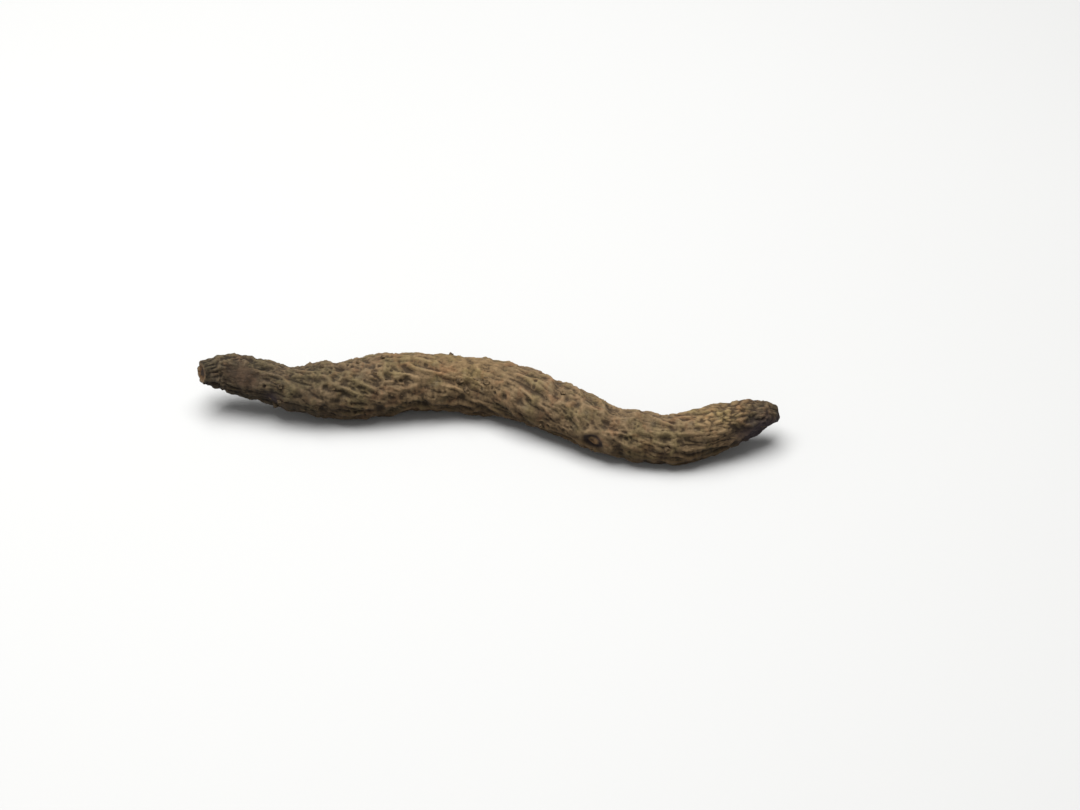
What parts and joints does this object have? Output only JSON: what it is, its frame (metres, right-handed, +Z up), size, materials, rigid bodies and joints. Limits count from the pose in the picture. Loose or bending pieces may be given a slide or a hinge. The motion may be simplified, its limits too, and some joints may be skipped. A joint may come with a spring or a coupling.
{
  "type": "golden eye-grass root",
  "caption": "Dried golden eye-grass root: a long S-bent rhizome with wrinkled, ridged and scarred brown bark, a cut crown end and a blunt tip. It lies on a flat surface.",
  "frame": {"origin": "on the surface that the root lies on, under the middle of its bounding box", "axes": "+Z up; X along the root, with the cut crown end at -X and the tip at +X; -Y is the front"},
  "size_m": [0.1105, 0.025, 0.0118],
  "materials": {
    "root_bark": "dry rough bark"
  },
  "bodies": {
    "root": {"rhizome": "root_bark"}
  },
  "joints": []
}
